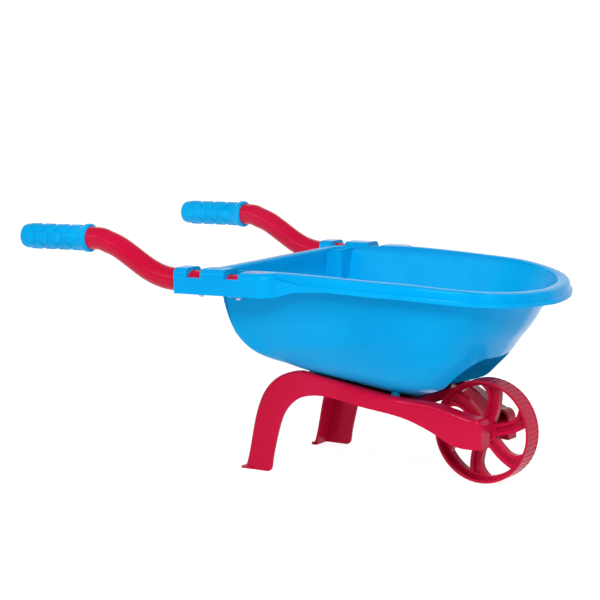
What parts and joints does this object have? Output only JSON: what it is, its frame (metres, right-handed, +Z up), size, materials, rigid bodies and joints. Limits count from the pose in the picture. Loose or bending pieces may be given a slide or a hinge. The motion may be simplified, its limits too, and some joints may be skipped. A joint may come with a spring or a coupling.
{
  "type": "toy wheelbarrow",
  "caption": "Child's plastic wheelbarrow: deep tub tray on a two-legged stand, bent tube handles with push-on grips, one spoked front wheel.",
  "frame": {"origin": "on the ground, half way along the barrow and on its centre plane", "axes": "+X forward towards the wheel, +Y to the left of someone pushing, +Z up"},
  "size_m": [0.63, 0.3636, 0.2887],
  "materials": {
    "tray_blue": "glossy moulded",
    "grip_blue": "satin, raised discs",
    "stand_red": "semi-gloss moulded",
    "wheel_red": "semi-gloss moulded",
    "handle_red": "glossy blow-moulded",
    "steel": "zinc plated"
  },
  "bodies": {
    "barrow": {"tray": "tray_blue", "stand": "stand_red", "handle_left": "handle_red", "handle_right": "handle_red", "grip_left": "grip_blue", "grip_right": "grip_blue", "axle": "steel", "axle_washers": "steel", "tray_screws": "steel", "handle_screws": "steel"},
    "wheel": {"wheel": "wheel_red"}
  },
  "joints": [
    {"name": "wheel_spin", "type": "hinge", "parent": "barrow", "child": "wheel", "pos_m": [0.2267, 0, 0.06], "axis": [0, 1, 0], "continuous": true}
  ]
}
